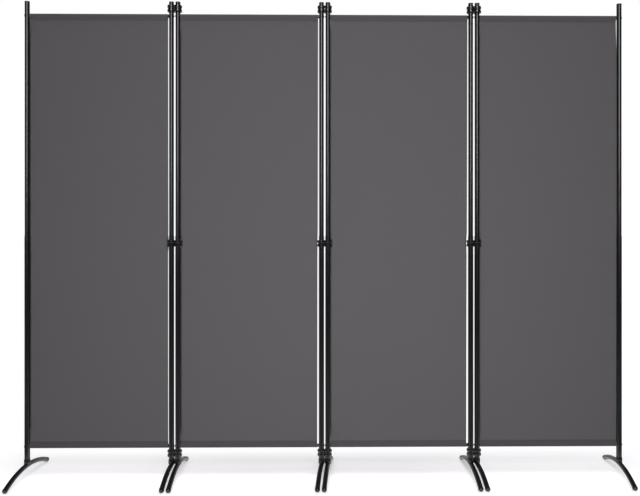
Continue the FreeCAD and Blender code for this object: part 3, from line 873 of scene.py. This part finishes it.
def left_edge(settings, panel, height, free):
    """Way from the left pole's axis to the cloth's edge, and how far back the edge lies.

    free is 0 at the sleeves and 1 where the edge is free to bend back beside the pole.
    """
    straight = tube_radius(panel, height) + POLE_AIR
    clear = straight + settings.thickness / 2
    turn = free * math.acos(TUCK)
    aside, back = straight * math.cos(turn), clear * math.sin(turn)
    if panel == PANELS[0]:
        return aside, back
    behind = math.sqrt((middle_clip()[0] + CLIP_AIR + settings.thickness / 2) ** 2 - straight**2)
    aside += clip_hold(height, CLIP_STEP) * (straight - aside)
    back += clip_hold(height, CLIP_FADE) * (behind - back)
    return aside, back


def right_edge(settings, panel, height, share):
    """Way from the right pole's axis to the cloth's edge, and how far back the edge lies.

    share runs from 0 at the top to 1 at the bottom.
    """
    top_gap, bottom_gap = RIGHT_GAPS[panel]
    aside = tube_radius(panel, height) + top_gap + share * (bottom_gap - top_gap)
    if panel == PANELS[-1]:
        return aside + CORNER_PULL * (1.0 - smooth_step(share / CORNER_SHARE)), 0.0
    clear = middle_clip()[0] + CLIP_AIR + settings.thickness / 2
    return aside, clip_hold(height, CLIP_FADE) * math.sqrt(max(0.0, clear**2 - aside**2))


def ripple_wave(panel, x, z):
    """How far a panel's cloth strays from flat at a place, from about -1 to 1."""
    return sum(
        part * noise.noise(Vector((along * x, rise * z, shift * panel)))
        for part, along, rise, shift in RIPPLES
    )


def cloth_mesh(settings, panel):
    """Points, faces, runs, painted-shade marks on doubled cloth and flat size of one panel's cloth.
    """
    low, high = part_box(f"panel_{panel}_fabric")
    upper, upper_seam = sleeve_run(settings, *rail_place(panel, "top_rail"), 1)
    lower, lower_seam = sleeve_run(settings, *rail_place(panel, "bottom_rail"), -1)
    heights = steps_between(upper_seam, lower_seam, [upper_seam, middle_clip()[1], lower_seam])
    # Each point's share of the painted shade of doubled cloth: the sleeves and the seam allowances
    section = [(y, z, UPPER_PAINTED_SHADE) for y, z in upper]
    for z in heights:
        shade = UPPER_PAINTED_SHADE * (upper_seam - z <= settings.seam_allowance)
        shade += LOWER_PAINTED_SHADE * (z - lower_seam <= settings.seam_allowance)
        section.append((0.0, z, shade))
    section.extend((y, z, LOWER_PAINTED_SHADE) for y, z in reversed(lower))
    columns = steps_between(low.x, high.x, [low.x, high.x])
    left_pole = pole_place(panel, "left_lower_pole")[0]
    right_pole = pole_place(panel, "right_lower_pole")[0]

    vertices, runs, doubled = [], [], []
    length = 0.0
    for row, (y, z, shade) in enumerate(section):
        if row:
            length += math.dist(section[row - 1][:2], (y, z))
        share = min(max((upper_seam - z) / (upper_seam - lower_seam), 0.0), 1.0)
        slack = math.sin(math.pi * share) ** SLACK_POWER
        free = smooth_step(min(upper_seam - z, z - lower_seam) / TUCK_FADE)
        left_aside, left_back = left_edge(settings, panel, z, free)
        right_aside, right_back = right_edge(settings, panel, z, share)
        start, end = left_pole + left_aside, right_pole - right_aside
        stretch = (end - start) / (high.x - low.x)
        for column in columns:
            x = start + stretch * (column - low.x)
            back = left_back * smooth_step(1.0 - (x - start) / BEND_WIDTH)
            back += right_back * smooth_step(1.0 - (end - x) / BEND_WIDTH)
            stray = settings.ripple * slack * ripple_wave(panel, x, z)
            vertices.append((x, y + back + stray, z))
            runs.append(((column - low.x) / UV_SPAN, length / UV_SPAN))
            doubled.append(shade)
    wide = len(columns)
    firsts = [row * wide + k for row in range(len(section) - 1) for k in range(wide - 1)]
    faces = [(k, k + wide, k + wide + 1, k + 1) for k in firsts]
    across = len(section) // 2 * wide
    width = sum(math.dist(vertices[across + k], vertices[across + k + 1]) for k in range(wide - 1))
    return vertices, faces, runs, doubled, (width, length)


# Stitch: points round it, girth along it (share of its length, share of the thread's radius), lift
# at its ends and what its middle adds, and sink of its end points, in radii of the thread
STITCH_SIDES = 6
STITCH_GIRTHS = ((0.0, 0.35), (0.15, 0.85), (0.5, 1.0), (0.85, 0.85), (1.0, 0.35))
END_LIFT = 0.1
MIDDLE_LIFT = 0.6
END_SINK = 0.1

# Row of stitches: its place in the seam allowance, where it starts, and what it leaves of the seam
ROW_SHARE = 0.3
ROW_START = 0.003
ROW_SPARE = 0.008


def stitch_rings(sewing, start, face, outward, height):
    """One stitch on a face of the cloth, as rings from its start to its end."""
    turns = around(STITCH_SIDES)
    rings = []
    for share, girth in STITCH_GIRTHS:
        lift = END_LIFT + MIDDLE_LIFT * math.sin(math.pi * share)
        x, y = start + share * sewing.length, face + outward * sewing.thread * lift
        radius = girth * sewing.thread
        rings.append([(x, y + radius * math.cos(t), height + radius * math.sin(t)) for t in turns])
    return rings


def stitch_rows(sewing, cloth, panel):
    """Stitches along both seams of a panel, on the front and on the back."""
    low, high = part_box(f"panel_{panel}_fabric")
    front, back = -cloth.thickness / 2, (LAYER_WAY + 0.5) * cloth.thickness
    count = int((high.x - low.x - ROW_SPARE) / sewing.pitch)
    vertices, faces = [], []
    for name, up in (("top_rail", 1), ("bottom_rail", -1)):
        seam = sleeve_run(cloth, *rail_place(panel, name), up)[1]
        height = seam - up * ROW_SHARE * cloth.seam_allowance
        for face, outward in ((front, -1), (back, 1)):
            sunk = face - END_SINK * outward * sewing.thread
            for k in range(count):
                start = low.x + ROW_START + k * sewing.pitch
                rings = stitch_rings(sewing, start, face, outward, height)
                first, last = (start, sunk, height), (start + sewing.length, sunk, height)
                loft(vertices, faces, rings, first, last)
    return vertices, faces


class FOLDING_SCREEN_OT_coat_steel(bpy.types.Operator):
    """Powder coat on the poles, rails and feet"""

    bl_idname = "folding_screen.coat_steel"
    bl_label = "Coat Steel"

    def execute(self, context):
        coat = coat_finish(context.scene.screen_coat)
        for panel in PANELS:
            for tube in PANEL_TUBES:
                finish_node(f"panel_{panel}_{tube}", coat)
        for foot in FEET:
            finish_node(f"foot_{foot}", coat)
        return {"FINISHED"}


# Roughness of each moulding's glossiest and dullest patch
CLIP_ROUGHNESS = (0.14, 0.20)
CAP_ROUGHNESS = (0.22, 0.30)
TIP_ROUGHNESS = (0.18, 0.26)


class FOLDING_SCREEN_OT_finish_plastic(bpy.types.Operator):
    """Moulded finish on the clips, caps and foot tips"""

    bl_idname = "folding_screen.finish_plastic"
    bl_label = "Finish Plastic"

    def execute(self, context):
        settings = context.scene.screen_mouldings
        grain = settings.grain
        clip = moulded_finish("clip_moulding", settings.clip_colour, grain, CLIP_ROUGHNESS)
        cap = moulded_finish("cap_moulding", settings.cap_colour, grain, CAP_ROUGHNESS)
        tip = moulded_finish("tip_moulding", settings.tip_colour, grain, TIP_ROUGHNESS)
        for pair in CLIP_SETS:
            finish_node(f"hinge_clips_{pair}", clip)
        for panel in PANELS:
            finish_node(f"panel_{panel}_pole_caps", cap)
        for foot in FEET:
            finish_node(f"foot_{foot}_tips", tip)
        return {"FINISHED"}


class FOLDING_SCREEN_OT_fit_screws(bpy.types.Operator):
    """Cross-head screws through the poles into the rails' plugs"""

    bl_idname = "folding_screen.fit_screws"
    bl_label = "Fit Screws"

    def execute(self, context):
        settings = context.scene.screen_fasteners
        steel = screw_finish(settings.screw_colour)
        zinc = zinc_finish(settings.insert_colour)
        for panel in PANELS:
            screws = new_piece(panel, "screws", *screw_mesh(settings, panel), steel, "screw_steel")
            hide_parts(f"panel_{panel}_rail_screws")
            finish_node(f"panel_{panel}_rail_inserts", zinc)
        return {"FINISHED"}


class FOLDING_SCREEN_OT_hang_cloth(bpy.types.Operator):
    """Cloth on the rails, with its sleeves and the stitches along their seams"""

    bl_idname = "folding_screen.hang_cloth"
    bl_label = "Hang Cloth"

    def execute(self, context):
        settings = context.scene.screen_cloth
        sewing = context.scene.screen_sewing
        woven = cloth_finish(settings)
        thread = thread_finish(sewing)
        for panel in PANELS:
            vertices, faces, runs, doubled, flat = cloth_mesh(settings, panel)
            cloth = new_piece(panel, "cloth", vertices, faces, woven, "grey_fabric")
            run_map = cloth.data.uv_layers.new(name=UV_NAME)
            for loop in cloth.data.loops:
                run_map.data[loop.index].uv = runs[loop.vertex_index]
            # Marks of the painted shade where the cloth is doubled
            marks = cloth.data.attributes.new(PAINTED_SHADE_MARK, "FLOAT", "POINT")
            marks.data.foreach_set("value", doubled)
            layer = cloth.modifiers.new("layer", "SOLIDIFY")
            layer.thickness = settings.thickness
            layer.offset = 0.0
            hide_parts(f"panel_{panel}_fabric")

            vertices, faces = stitch_rows(sewing, settings, panel)
            stitches = new_piece(panel, "stitches", vertices, faces, thread, "grey_fabric")
        return {"FINISHED"}


FLOOR_HALF = 9.0
FLOOR_LEVEL = -0.0004

# Faint mottling of the floor: waves a metre, and its shades
MOTTLE_SCALE = 3.0
MOTTLE_SHADES = (0.99, 1.01)

# Floor that keeps shadows: half length, half depth, and how far it takes to turn white beyond them
SHADOW_HALF = {"X": 1.25, "Y": 0.18}
SHADOW_FADE = 0.12

# White that the floor in front of the screen has beyond the floor behind it, and the depths between
# which it changes
FRONT_GLOW = 0.13
GLOW_DEPTHS = (-0.06, 0.06)

# Painted shade on the floor at the screen's middle and painted light at its ends: white taken away
# and added, and the distances between which it changes
MIDDLE_PAINTED_SHADE = 0.05
END_PAINTED_LIGHT = 0.06
END_REACH = (0.3, 0.9)

# Brightness of the studio as gloss mirrors it: unlit in front of the screen and lit behind it.
# The floor in front brightens towards the screen, and darkens again in the screen's shade:
# depths of each change, and the brightness between them and at the screen's foot
FRONT_DARK = 0.05
BACK_BRIGHT = 0.6
BRIGHTEN_DEPTHS = (-3.0, -1.2)
SHADE_DEPTHS = (-0.8, -0.35)
BACK_DEPTHS = (0.2, 0.5)
FRONT_BRIGHT = 0.34
FOOT_BRIGHT = 0.12

# Directions in which the mirrored room turns from front to back, and from wall to ceiling
BACKWARD_SPAN = (-0.1, 0.6)
UPWARD_SPAN = (0.2, 0.5)

# Lamps: name, the setting of their power, size, place, the point they face, and whether they are
# only for gloss
LAMPS = (
    ("front_lamp", "front_light", (0.8, 1.2), (0.12, -2.6, 1.75), (0.12, 0.0, 1.3), False),
    ("low_lamp", "low_light", (1.0, 0.6), (0.12, -2.1, 0.45), (0.05, 0.0, 0.7), False),
    ("top_lamp", "top_light", (3.4, 2.6), (0.0, -1.2, 6.0), (0.0, 0.0, 0.0), False),
    ("back_lamp", "back_light", (2.0, 1.0), (0.0, 2.8, 2.6), (0.0, 0.0, 0.9), False),
    ("high_lamp", "gloss_light", (2.4, 3.2), (-0.3, -6.0, 3.1), (0.0, 0.0, 1.4), True),
)


def shown_ray(tree):
    """1 for rays that show the background: seen, mirrored or let through."""
    rays = add_node(tree, "ShaderNodeLightPath").outputs
    seen = calc(tree, "ADD", rays["Is Camera Ray"], rays["Is Glossy Ray"])
    return calc(tree, "ADD", seen, rays["Is Transmission Ray"], clamp=True)


def shown_white(tree, mirrored):
    """Full white where the camera sees it, and a given brightness where gloss mirrors it."""
    seen = add_node(tree, "ShaderNodeLightPath").outputs["Is Camera Ray"]
    return calc(tree, "MAXIMUM", seen, mirrored)


def mix_shaders(tree, share, first, second, output):
    """Show the first shader where share is 0, and the second where it is 1."""
    mixed = add_node(tree, "ShaderNodeMixShader")
    feed_in_order(tree, mixed, (share, first, second))
    feed(tree, tree.nodes[output].inputs["Surface"], mixed.outputs["Shader"])


def floor_finish(colour, glow):
    """Pale floor that keeps shadows near the screen and turns plain white further off."""
    material, tree, shader = new_material(
        "pale_floor", Roughness=0.9, Specular_IOR_Level=0.1, Emission_Color=WHITE
    )
    mottle = remap(tree, cloudy(tree, MOTTLE_SCALE), PATCH_SPAN, MOTTLE_SHADES)
    feed(tree, shader["Base Color"], scaled(tree, (*colour,), mottle))
    shown = shown_ray(tree)
    axes = axes_of(tree, add_node(tree, "ShaderNodeTexCoord").outputs["Object"])
    # Painted shade at the screen's middle and painted light at its ends, added to the floor's white
    along = remap(tree, calc(tree, "ABSOLUTE", axes["X"]), END_REACH, (-MIDDLE_PAINTED_SHADE, END_PAINTED_LIGHT))
    deep = remap(tree, axes["Y"], GLOW_DEPTHS, (glow + FRONT_GLOW, glow))
    added = calc(tree, "ADD", deep, along)
    feed(tree, shader["Emission Strength"], calc(tree, "MULTIPLY", shown, added))

    beyond = []
    for axis, half in SHADOW_HALF.items():
        reach = calc(tree, "SUBTRACT", calc(tree, "ABSOLUTE", axes[axis]), half)
        beyond.append(calc(tree, "MAXIMUM", reach, 0.0))
    squares = calc(tree, "MULTIPLY", beyond[0], beyond[0])
    outside = calc(tree, "SQRT", calc(tree, "MULTIPLY_ADD", beyond[1], beyond[1], squares))
    far = remap(tree, outside, (0.0, SHADOW_FADE))
    brightened = remap(tree, axes["Y"], BRIGHTEN_DEPTHS, (FRONT_DARK, FRONT_BRIGHT))
    shaded = remap(tree, axes["Y"], SHADE_DEPTHS, (FRONT_BRIGHT, FOOT_BRIGHT))
    back = remap(tree, axes["Y"], BACK_DEPTHS, (0.0, BACK_BRIGHT))
    mirrored = calc(tree, "MAXIMUM", calc(tree, "MINIMUM", brightened, shaded), back)
    white = add_node(tree, "ShaderNodeEmission", {"Strength": shown_white(tree, mirrored)})
    surfaces = tree.nodes["Principled BSDF"].outputs["BSDF"], white.outputs["Emission"]
    mix_shaders(tree, calc(tree, "MULTIPLY", far, shown), *surfaces, "Material Output")
    return material


def studio_world(level):
    """White where it is seen, dark in front and overhead where mirrored, else an even light."""
    world = bpy.data.worlds.new("studio")
    world.use_nodes = True
    tree = world.node_tree
    lit = tree.nodes["Background"]
    feed(tree, lit.inputs["Color"], WHITE)
    feed(tree, lit.inputs["Strength"], level)
    axes = axes_of(tree, add_node(tree, "ShaderNodeTexCoord").outputs["Generated"])
    behind = remap(tree, axes["Y"], BACKWARD_SPAN)
    low = remap(tree, axes["Z"], UPWARD_SPAN, (1.0, 0.0))
    bright = calc(tree, "MULTIPLY", behind, low)
    mirrored = remap(tree, bright, FULL, (FRONT_DARK, BACK_BRIGHT))
    inputs = {"Color": WHITE, "Strength": shown_white(tree, mirrored)}
    shown = add_node(tree, "ShaderNodeBackground", inputs)
    backgrounds = lit.outputs["Background"], shown.outputs["Background"]
    mix_shaders(tree, shown_ray(tree), *backgrounds, "World Output")
    return world


def add_lamp(name, power, size, place, aim, for_gloss):
    """A rectangular soft light at a place, turned to face a point.

    Only gloss shows it where for_gloss is true, and all but gloss otherwise.
    """
    light = bpy.data.lights.new(name, "AREA")
    light.energy = power
    light.shape = "RECTANGLE"
    light.size, light.size_y = size
    lamp = new_object(name, light)
    lamp.location = place
    lamp.rotation_euler = (Vector(aim) - Vector(place)).to_track_quat("-Z", "Y").to_euler()
    lamp.visible_camera = False
    lamp.visible_glossy = for_gloss
    lamp.visible_diffuse = not for_gloss


class FOLDING_SCREEN_OT_set_stage(bpy.types.Operator):
    """Floor, soft lights and camera"""

    bl_idname = "folding_screen.set_stage"
    bl_label = "Set Stage"

    def execute(self, context):
        settings = context.scene.screen_stage
        sides = ((-1, -1), (1, -1), (1, 1), (-1, 1))
        corners = [(FLOOR_HALF * x, FLOOR_HALF * y, FLOOR_LEVEL) for x, y in sides]
        pale = floor_finish(settings.floor_colour, settings.floor_glow)
        floor = mesh_object("floor", corners, [(0, 1, 2, 3)], pale)

        context.scene.world = studio_world(settings.room_light)
        for name, power, *placing in LAMPS:
            add_lamp(name, getattr(settings, power), *placing)

        camera = new_object("camera", bpy.data.cameras.new("camera"))
        camera.location = settings.camera_place
        camera.rotation_euler = (math.pi / 2, 0.0, settings.camera_turn)
        camera.data.lens = settings.lens
        camera.data.shift_y = settings.camera_shift
        context.scene.camera = camera
        context.scene.view_settings.view_transform = "Standard"
        return {"FINISHED"}


class FOLDING_SCREEN_PT_sidebar(bpy.types.Panel):
    """Steps that dress the folding screen"""

    bl_idname = "FOLDING_SCREEN_PT_sidebar"
    bl_label = "Folding Screen"
    bl_space_type = "VIEW_3D"
    bl_region_type = "UI"
    bl_category = "Folding Screen"

    def draw(self, context):
        for step in STEPS:
            self.layout.operator(step.bl_idname)


STEPS = (
    FOLDING_SCREEN_OT_coat_steel,
    FOLDING_SCREEN_OT_finish_plastic,
    FOLDING_SCREEN_OT_fit_screws,
    FOLDING_SCREEN_OT_hang_cloth,
    FOLDING_SCREEN_OT_set_stage,
)
SETTINGS = {
    "screen_coat": CoatSettings,
    "screen_mouldings": MouldingSettings,
    "screen_fasteners": FastenerSettings,
    "screen_cloth": ClothSettings,
    "screen_sewing": SewingSettings,
    "screen_stage": StageSettings,
}
CLASSES = (*SETTINGS.values(), *STEPS, FOLDING_SCREEN_PT_sidebar)


def register():
    """Add the settings, the steps and their panel."""
    for each in CLASSES:
        bpy.utils.register_class(each)
    for name, kind in SETTINGS.items():
        setattr(bpy.types.Scene, name, PointerProperty(type=kind))


def unregister():
    """Take them out again."""
    for name in SETTINGS:
        delattr(bpy.types.Scene, name)
    for each in reversed(CLASSES):
        bpy.utils.unregister_class(each)


def main():
    """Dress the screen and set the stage."""
    register()
    bpy.ops.folding_screen.coat_steel()
    bpy.ops.folding_screen.finish_plastic()
    bpy.ops.folding_screen.fit_screws()
    bpy.ops.folding_screen.hang_cloth()
    bpy.ops.folding_screen.set_stage()


if __name__ == "__main__":
    main()
